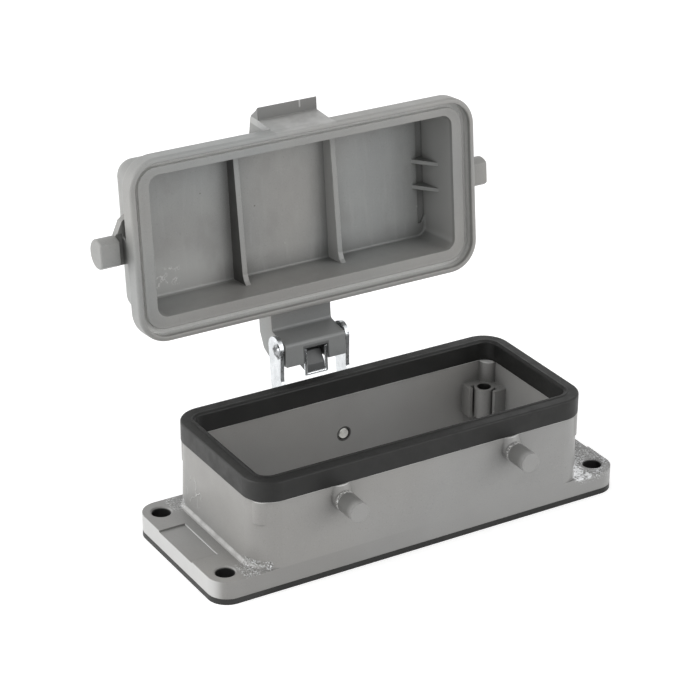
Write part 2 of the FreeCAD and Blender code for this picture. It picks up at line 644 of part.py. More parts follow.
def make_hinge_bracket():
    """Sheet metal hinge: a back plate with two boomerang ears folded from its ends."""
    body = new_body("hinge_bracket")
    back = "flange_back"
    low, high = "rivet_z - plate_height / 2", "rivet_z + plate_height / 2"
    outline = [
        (back, low), (f"{back} + plate_ledge", low), ("ear_y + ear_heel_back", "hinge_z - ear_heel_drop"),
        ("ear_y + ear_bend_back", "hinge_z - ear_bend_drop"), ("ear_y + ear_radius", "hinge_z + ear_rise"),
        ("ear_y + ear_radius", "ear_top"), ("ear_y - ear_radius", "ear_top"),
        ("ear_y - ear_radius", "hinge_z + ear_rise"), ("ear_y - ear_radius", "hinge_z - ear_neck_drop"),
        ("ear_y - ear_radius - ear_neck_step", high), (back, high),
    ]
    sketch = new_sketch(body, "bracket_side", "YZ_Plane")
    draw_outline(sketch, outline)
    extrude(body, sketch, "2 * ear_outside", both=True)
    top = edges_through(body, outline[5:7])
    dress(body, "Fillet", "ear_tops", top, "ear_radius - pin_seat")
    dress(body, "Fillet", "ear_bends", edges_through(body, [outline[2], outline[3], outline[9]]),
          "ear_bend_round")
    dress(body, "Fillet", "ear_corners", edges_through(body, [outline[1], outline[8]]),
          "ear_corner_round")

    inside = new_sketch(body, "bracket_inside", "XY_Plane")
    draw_outline(inside, [
        ("-ear_inside", f"{back} + sheet_thick"), ("ear_inside", f"{back} + sheet_thick"),
        ("ear_inside", "ear_y + 2 * plate_height"), ("-ear_inside", "ear_y + 2 * plate_height"),
    ])
    extrude(body, inside, "4 * hinge_z", "Pocket", both=True)
    for name, face, radius in (("outer_folds", back, "sheet_thick + fold_radius"),
                               ("inner_folds", f"{back} + sheet_thick", "fold_radius")):
        folds = edges_where(body, lambda box, edge: box.ZLength > LONG_EDGE and near(box.XLength, 0)
                            and near(box.YLength, 0) and near(box.YMin, number(face)))
        dress(body, "Fillet", name, folds, radius)

    pin_hole = new_sketch(body, "pin_hole", "YZ_Plane")
    draw_circle(pin_hole, ("hinge_y", "hinge_z"), "pin_bore / 2 + pin_seat")
    extrude(body, pin_hole, "3 * ear_outside", "Pocket", both=True)
    rivet_hole = new_sketch(body, "rivet_hole", "XZ_Plane", "-flange_back - sheet_thick - cut_past")
    draw_circle(rivet_hole, ("0", "rivet_z"), "rivet_shank / 2 + seal_fit")
    extrude(body, rivet_hole, "sheet_thick + 2 * cut_past", "Pocket", back=True)
    return body


def make_bracket_rivet():
    """Rivet through the bracket and the back wall: a domed head outside, an upset end in the cavity."""
    body = new_body("bracket_rivet")
    length = "(flange_back + sheet_thick - cavity_width / 2)"
    sketch = new_sketch(body, "rivet_section", "XY_Plane")
    draw_outline(sketch, [
        ("0", f"-{length}"), ("rivet_end / 2", f"-{length}"),
        ("rivet_shank / 2", f"-{length} + (rivet_shank - rivet_end) / 2"), ("rivet_shank / 2", "0"),
        ("rivet_head / 2", "0"),
        ("rivet_head / 2 - seal_fit", "rivet_edge"), ("rivet_head / 2 - rivet_shoulder", "rivet_crown"),
        ("0", "rivet_crown"),
    ])
    revolve(body, sketch, "V_Axis")
    place(body, "0", "flange_back + sheet_thick", "rivet_z")
    return body


def make_hinge_pin():
    """Steel pin through both ears and the knuckle, with a head formed at each end."""
    body = new_body("hinge_pin")
    sketch = new_sketch(body, "pin_section", "XY_Plane")
    half = "ear_outside"
    draw_outline(sketch, [
        (f"-{half} - pin_head_thick", "0"), (f"-{half} - pin_head_thick", "pin_head / 2 - pin_head_slope"),
        (f"-{half} - pin_head_edge", "pin_head / 2"), (f"-{half}", "pin_head / 2"),
        (f"-{half}", "pin_bore / 2"),
        (half, "pin_bore / 2"), (half, "pin_head / 2"), (f"{half} + pin_head_edge", "pin_head / 2"),
        (f"{half} + pin_head_thick", "pin_head / 2 - pin_head_slope"), (f"{half} + pin_head_thick", "0"),
    ])
    revolve(body, sketch, "H_Axis")
    place(body, "0", "hinge_y", "hinge_z")
    return body


def make_cover():
    """One moulding: a shallow box with a sealing lip, ribs, trunnions, finger tab and hinge arm."""
    body = new_body("cover")

    band = new_sketch(body, "band", "XY_Plane", "lip_z")
    draw_rounded(band, "cover_length", "cover_width", "cover_corner", "lip_middle")
    extrude(body, band, "band_depth")
    dress(body, "Fillet", "band_edges", flat_loop(body, "band_back"), "band_round")

    shell = new_sketch(body, "shell", "XY_Plane", "lip_z + lip_depth")
    draw_rounded(shell, "shell_length", "shell_width", "opening_corner + cover_wall", "opening_middle")
    extrude(body, shell, "cover_top - lip_z - lip_depth", draft="-shell_draft")
    dress(body, "Fillet", "back_edges", flat_loop(body, "cover_top"), "cover_round")

    trunnions(body)
    finger_tab(body)
    hinge_arm(body)
    sealing_face(body)

    hollow = new_sketch(body, "hollow", "XY_Plane", "lip_z")
    draw_rounded(hollow, "opening_length", "opening_width", "opening_corner", "opening_middle")
    extrude(body, hollow, "cover_depth", "Pocket", back=True, draft="-hollow_draft")
    dress(body, "Fillet", "panel_edges", flat_loop(body, "panel_z"), "panel_round")
    end_channels(body)
    end_gussets(body)
    cover_ribs(body)
    return body


def sealing_face(body):
    """The recess that takes the rim gasket: a raised land with a groove between it and the lip."""
    recess = new_sketch(body, "lip_recess", "XY_Plane", "lip_z")
    draw_rounded(recess, "recess_length", "recess_across", "cover_corner - lip_thick", "lip_middle")
    extrude(body, recess, "lip_depth", "Pocket", back=True)

    groove = new_sketch(body, "lip_groove", "XY_Plane", "lip_z")
    for inset in ("0", "groove_width"):
        draw_rounded(groove, f"recess_length - 2 * {inset}", f"recess_across - 2 * {inset}",
                     f"cover_corner - lip_thick - {inset}", "lip_middle")
    extrude(body, groove, "lip_depth + groove_depth", "Pocket", back=True)

    middle_x, middle_front, middle_back = (number(f"{size} + lip_thick / 2")
                                           for size in ("recess_length / 2", "lip_front", "lip_back"))

    def lip_edges(outside):
        def test(box, edge):
            beyond = max(box.XMax, -box.XMin) > middle_x or box.YMax > middle_back or -box.YMin > middle_front
            return beyond == outside and near(box.ZMin, number("lip_z")) and near(box.ZMax, number("lip_z"))
        return edges_where(body, test)
    dress(body, "Fillet", "lip_inner_edge", lip_edges(False), "lip_break")
    dress(body, "Fillet", "lip_outer_edge", lip_edges(True), "lip_round")


def trunnions(body):
    """A flatted round at each short end, with a slot at its root and a web on its free side."""
    round_bar = new_sketch(body, "trunnion", "YZ_Plane", "shell_length / 2 - cover_end_wall / 2")
    draw_circle(round_bar, ("0", "trunnion_z"), "trunnion_radius")
    bar = extrude(body, round_bar, "trunnion_end - shell_length / 2 + cover_end_wall / 2")

    web = new_sketch(body, "trunnion_web", "XY_Plane", "trunnion_z - web_thick / 2")
    root = "shell_length / 2 - cover_end_wall / 2"
    draw_outline(web, [
        (root, "0"), ("cover_length / 2 + slot_width", "0"),
        ("cover_length / 2 + slot_width", "-trunnion_radius"),
        ("cover_length / 2", "-trunnion_radius - web_shoulder"),
        ("shell_length / 2", "-trunnion_radius - web_length"), (root, "-trunnion_radius - web_length"),
    ])
    plate = extrude(body, web, "web_thick")
    mirror(body, [bar, plate], ["YZ_Plane"])

    face = "trunnion_z - trunnion_flat"
    for side in ("", "-"):
        flat = new_sketch(body, "trunnion_flat_left" if side else "trunnion_flat_right", "XZ_Plane")
        draw_outline(flat, [
            (f"{side}(cover_length / 2)", "lip_z - cut_past"),
            (f"{side}(trunnion_end + cut_past)", "lip_z - cut_past"),
            (f"{side}(trunnion_end + cut_past)", face), (f"{side}(cover_length / 2 + slot_width)", face),
            (f"{side}(cover_length / 2 + slot_width)", f"{face} + slot_depth"),
            (f"{side}(cover_length / 2)", f"{face} + slot_depth"),
        ])
        extrude(body, flat, "2 * trunnion_radius + cut_past", "Pocket", both=True)
    tip = number("trunnion_end")
    ends = edges_where(body, lambda box, edge: near(box.XMin, box.XMax) and near(abs(box.XMin), tip))
    dress(body, "Fillet", "trunnion_ends", ends, "trunnion_round")


def end_channels(body):
    """A shallow channel in the inner panel along each end wall."""
    wall = "(opening_length / 2 - cover_depth * tan(hollow_draft))"
    sketch = new_sketch(body, "end_channels", "XY_Plane", "panel_z - panel_round")
    for side in ("", "-"):
        draw_outline(sketch, [
            (f"{side}({wall} - channel_width)", "-channel_front"), (f"{side}{wall}", "-channel_front"),
            (f"{side}{wall}", "channel_back - channel_width"),
            (f"{side}({wall} - channel_width / 2)", "channel_back"),
            (f"{side}({wall} - channel_width)", "channel_back"),
        ])
    extrude(body, sketch, "panel_round + channel_depth", "Pocket", back=True)


def end_gussets(body):
    """Two thin gussets behind each trunnion, from the end wall down to the inner panel."""
    root = "(opening_length / 2 + root_sink)"
    foot = "(opening_length / 2 - cover_depth * tan(hollow_draft) - gusset_foot)"
    sketch = new_sketch(body, "end_gusset", "XZ_Plane", "gusset_spacing / 2")
    draw_outline(sketch, [
        (root, "lip_z + gusset_edge"), (root, "panel_z + channel_depth + root_sink"),
        (foot, "panel_z + channel_depth + root_sink"), (foot, "panel_z"),
    ])
    gusset = extrude(body, sketch, "gusset_thick", both=True)
    mirror(body, [gusset], ["YZ_Plane", "XZ_Plane"])


def finger_tab(body):
    """Hooked finger tab in the middle of the free side, flat towards the lip."""
    lip = "-(lip_front + lip_thick)"
    root = "opening_middle - shell_width / 2 + tab_sink"
    outline = [
        (root, "lip_z + tab_root"), (lip, "lip_z + tab_root"), (f"{lip} - tab_slope", "lip_z + tab_face"),
        (f"{lip} - tab_reach", "lip_z + tab_face"),
        (f"{lip} - tab_reach + tab_edge", "lip_z + tab_face + tab_edge"),
        (f"{lip} - tab_back_reach", "lip_z + tab_back"), (root, "lip_z + tab_end"),
    ]
    sketch = new_sketch(body, "finger_tab", "YZ_Plane")
    draw_outline(sketch, outline)
    extrude(body, sketch, "tab_width", both=True)
    dress(body, "Fillet", "tab_back", edges_through(body, [outline[5]]), "tab_back_round")


def hinge_arm(body):
    """Arm from the hinge side to a knuckle on the pin, with a window and a tongue in it."""
    back = "opening_middle + shell_width / 2 - tab_sink"
    edge = "lip_back + lip_thick - root_sink"
    outline = [
        (back, "lip_z + arm_root"), (edge, "lip_z + arm_root"), (edge, "hinge_z + arm_shelf"),
        ("hinge_y - arm_front", "hinge_z + arm_shelf"), ("hinge_y - knuckle_front", "knuckle_face"),
        ("hinge_y + knuckle_back", "knuckle_face"), ("hinge_y + knuckle_back", "hinge_z + arm_heel"),
        ("hinge_y + knuckle_drop", "hinge_z + arm_waist"), ("hinge_y - knuckle_front", "hinge_z + arm_back"),
        (back, "hinge_z + arm_back"),
    ]
    sketch = new_sketch(body, "arm", "YZ_Plane")
    draw_outline(sketch, outline)
    extrude(body, sketch, "knuckle_width", both=True)
    dress(body, "Fillet", "arm_back", edges_through(body, outline[6:9]), "arm_back_round")
    dress(body, "Fillet", "arm_corner", edges_through(body, [outline[3], outline[4]]),
          "arm_corner_round")

    window = new_sketch(body, "window", "XZ_Plane", "-hinge_y - window_edge")
    draw_outline(window, [
        ("-window_width / 2", "knuckle_face - cut_past"), ("window_width / 2", "knuckle_face - cut_past"),
        ("window_width / 2", "knuckle_face + window_depth"),
        ("-window_width / 2", "knuckle_face + window_depth"),
    ])
    extrude(body, window, "2 * arm_back", "Pocket")

    profile = new_sketch(body, "tongue", "YZ_Plane")
    draw_outline(profile, [
        ("hinge_y + tongue_root", "knuckle_face + window_depth + root_sink"),
        ("hinge_y + tongue_root", "hinge_z + root_sink"), ("hinge_y + tongue_bend", "hinge_z - tongue_tip"),
        ("hinge_y + tongue_reach", "hinge_z - tongue_drop"),
        ("hinge_y + tongue_reach", "hinge_z - tongue_drop + tongue_tip"),
        ("hinge_y + tongue_bend", "hinge_z + arm_shelf"),
        ("hinge_y + tongue_root + cut_past", "hinge_z + tongue_back"),
        ("hinge_y + tongue_root", "hinge_z + tongue_back"),
    ])
    extrude(body, profile, "tongue_width", both=True)

    bore = new_sketch(body, "knuckle_bore", "YZ_Plane")
    draw_circle(bore, ("hinge_y", "hinge_z"), "pin_bore / 2 + pin_fit")
    extrude(body, bore, "knuckle_width + 2 * cut_past", "Pocket", both=True)


def cover_ribs(body):
    """Two ribs across the hollow, their ends flaring up the walls."""
    front = "opening_middle - opening_width / 2 - root_sink"
    back = "opening_middle + opening_width / 2 + root_sink"
    edge = "lip_z + rib_edge"
    sketch = new_sketch(body, "rib", "YZ_Plane", "rib_spacing / 2")
    draw_outline(sketch, [
        (front, f"{edge} + rib_slope - rib_flare_rise"),
        (f"{front} + rib_flare_step", f"{edge} - rib_slope / 2"),
        (f"{front} + rib_flare", f"{edge} + rib_slope"), (f"{back} - rib_flare", f"{edge} - rib_slope"),
        (f"{back} - rib_flare_step", f"{edge} - 2 * rib_slope"),
        (back, f"{edge} - rib_slope - rib_flare_rise"), (back, "panel_z + root_sink"),
        (front, "panel_z + root_sink"),
    ])
    rib = extrude(body, sketch, "rib_thick", both=True)
    mirror(body, [rib], ["YZ_Plane"])


def make_hinge_spring():
    """Wire bent to a U that lies in the knuckle's window, its bar behind the end of the tongue."""
    body = new_body("hinge_spring")
    level = "knuckle_face + wire_fit + wire / 2"
    side = "window_width / 2 - wire_fit - wire / 2"
    near_end = "hinge_y + window_edge + wire_fit + wire / 2"
    far_end = "hinge_y + tongue_reach + wire_fit + wire / 2"
    path = new_sketch(body, "wire_path", "XY_Plane", level)
    corners = [(side, near_end), (side, far_end), (f"-({side})", far_end), (f"-({side})", near_end)]
    points = [FreeCAD.Vector(number(across), number(along), 0) for across, along in corners]
    for start, end in zip(points, points[1:]):
        path.addGeometry(Part.LineSegment(start, end), False)
    for index in range(3):
        hold_point(path, index, 1, f"bend_{index}", corners[index])
    for index in range(2):
        path.addConstraint(Sketcher.Constraint("Coincident", index, 2, index + 1, 1))
    hold_point(path, 2, 2, "end", corners[3])
    document.recompute()

    section = new_sketch(body, "wire_section", "XZ_Plane", f"-({near_end})")
    draw_circle(section, (side, level), "wire / 2")
    document.recompute()
    pipe = body.newObject("PartDesign::AdditivePipe", "wire_frame")
    pipe.Profile = section
    pipe.Spine = (path, [f"Edge{index}" for index in range(1, 4)])
    pipe.Transition = "Round corner"
    document.recompute()
    return body


def hang_cover(body):
    """Turn a piece that is drawn with the cover shut to where it stands with the cover open."""
    centre = f"create(<<vector>>; 0; {formula('hinge_y')}; {formula('hinge_z')})"
    turn = "create(<<rotation>>; create(<<vector>>; 1; 0; 0); -sizes.open_angle)"
    body.setExpression("Placement", f"create(<<placement>>; create(<<vector>>; 0; 0; 0); {turn}; {centre})")


def check_document(bodies):
    """Stop if any object failed or any piece is not one sound solid."""
    for item in document.Objects:
        failed = [word for word in item.State if word in ("Invalid", "Error")]
        assert not failed, f"{item.Name}: {item.State}"
    for body in bodies:
        shape = body.Shape
        assert not shape.isNull() and shape.isValid(), body.Label
        assert len(shape.Solids) == 1, f"{body.Label}: {len(shape.Solids)} solids"


pieces = [
    make_housing(), make_panel_gasket(), make_rim_gasket(), make_hinge_bracket(), make_bracket_rivet(),
    make_hinge_pin(), make_cover(), make_hinge_spring(),
]
for piece in pieces:
    if piece.Label in ("cover", "hinge_spring"):
        hang_cover(piece)
document.recompute()
check_document(pieces)

os.makedirs("parts", exist_ok=True)
for piece in pieces:
    piece.Shape.exportStep(f"parts/{piece.Label}.step")
    box = piece.Shape.BoundBox
    print(f"{piece.Label}: {piece.Shape.Volume:.0f} mm3, {len(piece.Shape.Faces)} faces, "
          f"x {box.XMin:.2f}..{box.XMax:.2f}, y {box.YMin:.2f}..{box.YMax:.2f}, "
          f"z {box.ZMin:.2f}..{box.ZMax:.2f}")
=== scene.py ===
import math

import bmesh
import bpy
from mathutils import Matrix, Vector

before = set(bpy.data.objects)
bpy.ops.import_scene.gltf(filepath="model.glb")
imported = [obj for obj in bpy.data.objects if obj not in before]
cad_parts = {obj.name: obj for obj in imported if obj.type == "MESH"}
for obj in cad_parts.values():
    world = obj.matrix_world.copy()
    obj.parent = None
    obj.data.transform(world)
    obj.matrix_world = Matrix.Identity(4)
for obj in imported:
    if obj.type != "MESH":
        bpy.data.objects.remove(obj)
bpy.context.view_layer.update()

# Bulkhead housing of a rectangular connector with its protective cover open.
# Objects are in metres. Finishes measure the surface in millimetres, which the names below are in.

MM = 0.001
PICTURE = 700

# Where the photographer stood: degrees, millimetres, and the focal length in picture pixels
VIEW_TURN = -31.127
VIEW_HEIGHT = 25.748
VIEW_ROLL = 0.424
VIEW_DISTANCE = 594.312
VIEW_ASIDE = -7.424
VIEW_UP = 38.676
FOCAL_PIXELS = 2436.985
SENSOR = 36.0
NEAREST_SEEN = 0.01

# Soft lamps: place and side length in metres, and watts
LAMPS = {
    "left_lamp": ((-1.06, 0.24, 0.34), 0.6, 4.8),
    "left_back_lamp": ((-0.85, 0.70, 0.35), 0.6, 2.2),
    "high_left_lamp": ((-0.75, 0.10, 0.90), 0.6, 1.7),
    "front_lamp": ((0.28, -1.09, 0.42), 0.9, 3.0),
    "right_front_lamp": ((0.85, -0.75, 0.45), 0.7, 3.3),
}
LAMP_TARGET = (0.0, 0.01, 0.04)
ROOM_LEVEL = 0.58
FLOOR_REACH = 3.0
FLOOR_WHITE = 0.8
FLOOR_GLOW = 0.52

# Places on the housing: X along it, Y across it to the hinge, Z up from the panel
HOLE_X = 51.5
HOLE_Y = 16.0
HOLE_RADIUS = 2.25
FLANGE_TOP = 6.0
BOSS_HOLE_X = 38.75
BOSS_HOLE_Y = 13.5
BOSS_HOLE_RADIUS = 1.65
PEG_X = 23.5
PEG_Z = 19.7
PEG_RADIUS = 2.5
PEG_END = 29.0
WALL_X = 45.3
WALL_Y = 20.5
SKIRT_FOOT = 23.5
RIVET_Z = 12.7
RIVET_RADIUS = 1.63
RIM_END_X = 46.0

# Marks on the housing. A band has its start, its end and how softly it ends; a fade has its two ends
FLANGE_END_FADE_X = (44.0, 45.2)
FLANGE_TIP_FADE_X = (50.5, 48.5)
FLANGE_SIDE_FADE_Z = (3.6, 5.6)
WALL_FOOT_FADE_Z = (13.0, 9.5)
RIGHT_CORNER_FADE_X = (43.0, 44.6)
RIGHT_CORNER_LOW_Z = (5.0, 6.2)
RIGHT_CORNER_HIGH_Z = (21.0, 8.0)
LEFT_CORNER_BAND_X = (-48.2, -42.0, 0.8)
LEFT_CORNER_BAND_Z = (6.2, 7.8, 0.5)
LEFT_CORNER_FADE_Y = (13.0, 16.5)
RIGHT_FOOT_BAND_X = (43.5, 47.6, 0.8)
RIGHT_FOOT_BAND_Y = (-22.0, -14.0, 1.5)
RIGHT_FOOT_BAND_Z = (5.9, 8.6, 1.0)
LEFT_FOOT_BAND_X = (-48.6, -43.2, 0.8)
LEFT_FOOT_BAND_Z = (6.35, 6.95, 0.2)
FLOW_SPOT = (0.0, 10.0, 12.6)
FLOW_RADIUS = 2.2
FLOW_SOFT = 2.5
FRONT_SIDE_FADE_X = (10.0, -30.0)
BACK_WALL_FADE_Y = (10.0, 12.0)

# The hinge axis and the reach of the struck ends of its pin
HINGE_Y = 33.5
HINGE_Z = 31.05
STRUCK_RADIUS = 2.0

# The open cover: how far it has swung, the edge of its lip beside the hinge, and its depths
# behind that edge
OPEN_ANGLE = 95.5
LIP_Y = 33.277
LIP_Z = 64.727
GROOVE_START = 1.2
GROOVE_END = 3.1
RIB_DEPTH = 1.5
LAND_DEPTH = 2.9
PANEL_DEPTH = 15.5

# Other places on the open cover
RIB_START = 10.0
RIB_END = 16.5
END_WALL_START = 38.0
END_WALL_END = 46.0
WINDOW_SIDE = 3.6
WINDOW_TOP = 32.0
WINDOW_FRONT = 30.3
ARM_SIDE = 8.5
TAB_SIDE = 8.2
TAB_EDGE = 87.5
TAB_FOOT = 85.9
DENT = (-47.7, 33.4, 67.4)
DENT_RADIUS = 0.2
DENT_SOFT = 0.25
DENT_STRETCH = 0.5

# Marks on the open cover, as bands and fades
PALE_FADE_Z = (62.0, 50.0)
PALE_FADE_X = (-8.0, -26.0)
SCRATCH_BAND_X = (-37.5, -30.0, 1.5)
SCRATCH_BAND_Z = (49.0, 52.6, 1.0)
NICK_BAND_X = (3.3, 3.6, 0.12)
NICK_FADE_Z = (88.6, 89.2)
ARM_FADE_Z = (40.0, 36.0)
TAB_SLOPE_FADE_Y = (35.2, 36.2)

# Shading: how far a bevelled face turns from its neighbour at an edge, how open a recess is,
# how much of a dot is full, and when a face looks square against an axis
EDGE_TURN = (0.12, 0.5)
RECESS_OPEN = (0.92, 0.35)
DOT_CORE = 0.6
SQUARE_ON = -0.95
SAMPLES = 4


def set_camera():
    """The photograph's camera."""
    turn, height, roll = (math.radians(angle) for angle in (VIEW_TURN, VIEW_HEIGHT, VIEW_ROLL))
    back = Vector((math.sin(turn) * math.cos(height), -math.cos(turn) * math.cos(height), math.sin(height)))
    level = Vector((math.cos(turn), math.sin(turn), 0.0))
    upright = back.cross(level)
    right = math.cos(roll) * level + math.sin(roll) * upright
    up = math.cos(roll) * upright - math.sin(roll) * level
    lens = bpy.data.cameras.new("camera")
    lens.sensor_width = SENSOR
    lens.lens = SENSOR * FOCAL_PIXELS / PICTURE
    lens.clip_start = NEAREST_SEEN
    camera = bpy.data.objects.new("camera", lens)
    place = (VIEW_ASIDE * right + VIEW_UP * up + VIEW_DISTANCE * back) * MM
    camera.matrix_world = Matrix.Translation(place) @ Matrix((right, up, back)).transposed().to_4x4()
    bpy.context.scene.collection.objects.link(camera)
    bpy.context.scene.camera = camera


def soft_box(name, place, size, watts):
    """A square lamp that looks at the object."""
    lamp = bpy.data.lights.new(name, "AREA")
    lamp.shape = "SQUARE"
    lamp.size = size
    lamp.energy = watts
    holder = bpy.data.objects.new(name, lamp)
    aim = Vector(LAMP_TARGET) - Vector(place)
    turn = aim.to_track_quat("-Z", "Y").to_matrix().to_4x4()
    holder.matrix_world = Matrix.Translation(Vector(place)) @ turn
    bpy.context.scene.collection.objects.link(holder)


def seen_directly(tree):
    """1 for what the camera sees directly or in a reflection, else 0."""
    path = tree.nodes.new("ShaderNodeLightPath")
    seen = tree.nodes.new("ShaderNodeMath")
    seen.operation = "MAXIMUM"
    tree.links.new(path.outputs["Is Camera Ray"], seen.inputs[0])
    tree.links.new(path.outputs["Is Glossy Ray"], seen.inputs[1])
    return seen.outputs[0]


def white_surroundings(tree, strength):
    """A white background of some strength."""
    white = tree.nodes.new("ShaderNodeBackground")
    white.inputs["Color"].default_value = (1.0, 1.0, 1.0, 1.0)
    white.inputs["Strength"].default_value = strength
    return white.outputs[0]


def set_room():
    """Even white surroundings, which the camera and gloss see as pure white."""
    world = bpy.data.worlds.new("room")
    bpy.context.scene.world = world
    world.use_nodes = True
    tree = world.node_tree
    tree.nodes.clear()
    mix = tree.nodes.new("ShaderNodeMixShader")
    tree.links.new(seen_directly(tree), mix.inputs["Fac"])
    tree.links.new(white_surroundings(tree, ROOM_LEVEL), mix.inputs[1])
    tree.links.new(white_surroundings(tree, 1.0), mix.inputs[2])
    output = tree.nodes.new("ShaderNodeOutputWorld")
    tree.links.new(mix.outputs[0], output.inputs["Surface"])


def floor_white():
    """White paper that keeps a shadow, and whose lit part is pure white."""
    material = bpy.data.materials.new("white_floor")
    material.use_nodes = True
    tree = material.node_tree
    tree.nodes.clear()
    paper = tree.nodes.new("ShaderNodeBsdfDiffuse")
    paper.inputs["Color"].default_value = (FLOOR_WHITE, FLOOR_WHITE, FLOOR_WHITE, 1.0)
    level = tree.nodes.new("ShaderNodeMath")
    level.operation = "MULTIPLY"
    level.inputs[1].default_value = FLOOR_GLOW
    tree.links.new(seen_directly(tree), level.inputs[0])
    glow = tree.nodes.new("ShaderNodeEmission")
    tree.links.new(level.outputs[0], glow.inputs["Strength"])
    total = tree.nodes.new("ShaderNodeAddShader")
    tree.links.new(paper.outputs[0], total.inputs[0])
    tree.links.new(glow.outputs[0], total.inputs[1])
    output = tree.nodes.new("ShaderNodeOutputMaterial")
    tree.links.new(total.outputs[0], output.inputs["Surface"])
    return material


def set_floor():
    """A white sheet under the housing."""
    sheet = bmesh.new()
    bmesh.ops.create_grid(sheet, x_segments=1, y_segments=1, size=FLOOR_REACH)
    mesh = bpy.data.meshes.new("floor")
    sheet.to_mesh(mesh)
    sheet.free()
    mesh.materials.append(floor_white())
    floor = bpy.data.objects.new("floor", mesh)
    bpy.context.scene.collection.objects.link(floor)


def shade(value):
    """A picture value from 0 to 255 as a linear one."""
    share = value / 255.0
    return share / 12.92 if share <= 0.04045 else ((share + 0.055) / 1.055) ** 2.4


def tint(red, green, blue):
    """A colour given in picture values."""
    return (shade(red), shade(green), shade(blue), 1.0)


# The housing's paint and the cover's moulded grey, with a pale colour for worn edges and painted edge
# highlight, and a dark one for painted shade in recesses
PAINT_DARK = tint(141, 141, 139)
PAINT_LIGHT = tint(148, 148, 146)
PAINT_COOL = tint(145, 144, 144)
MOULDED_DARK = tint(142, 142, 140)
MOULDED_LIGHT = tint(151, 151, 148)
MOULDED_COOL = tint(139, 144, 146)
WARM_CAST = tint(148, 144, 140)
PALE_PEPPER = tint(176, 176, 174)
DARK_PEPPER = tint(98, 98, 96)
WORN_EDGE_AND_HIGHLIGHT = tint(190, 190, 188)
RECESS_SHADE = tint(78, 78, 76)

# Marks on the housing, painted glints, painted highlights and painted shade among them
PAINTED_GLINT = tint(236, 238, 240)
PIT = tint(88, 88, 86)
PAINTED_FOOT_GLINT = tint(240, 241, 242)
PAINTED_FOOT_HIGHLIGHT = tint(212, 212, 210)
FLOW_RIDGE = tint(205, 205, 203)
PAINTED_LIT_SIDE = tint(200, 200, 199)
PAINTED_SHADED_SIDE = tint(118, 118, 117)
PALE_EDGE_LINE = tint(214, 214, 212)
RIVET_GAP_SHADE = tint(46, 46, 45)
PEG_SHANK_SHADE = tint(100, 100, 98)
PEG_SPECK = tint(224, 224, 222)
BORE_SHADE = tint(34, 34, 33)

# Marks on the cover, painted light, painted glints and painted shade among them
PAINTED_GROOVE_LIGHT = tint(206, 206, 204)
DRAG_LINE = tint(170, 170, 168)
PALE_PANEL = tint(168, 168, 166)
SMEAR = tint(122, 121, 118)
BROWN_SPECK = tint(92, 88, 84)
PAINTED_PANEL_GLINT = tint(205, 205, 203)
PAINTED_FLANK_SHADE = tint(64, 64, 62)
PAINTED_FLANK_LIGHT = tint(196, 196, 194)
SCRATCH = tint(212, 212, 210)
DENT_DIRT = tint(70, 70, 68)
NICK = tint(226, 226, 224)
WINDOW_SHADE = tint(56, 57, 56)
ARM_SHADE = tint(110, 112, 113)
DULL_TAB = tint(98, 98, 97)
PALE_TAB_SLOPE = tint(200, 200, 199)

# Marks on rubber and on plated steel, painted shade and a painted sheen on the rubber among them
RUBBER_RECESS_SHADE = tint(8, 8, 8)
PAINTED_LEFT_SHEEN = tint(58, 58, 57)
DUST = tint(110, 110, 108)
RUBBER_EDGE = tint(70, 70, 68)
STRUCK = tint(62, 64, 64)
STAIN = tint(110, 110, 108)


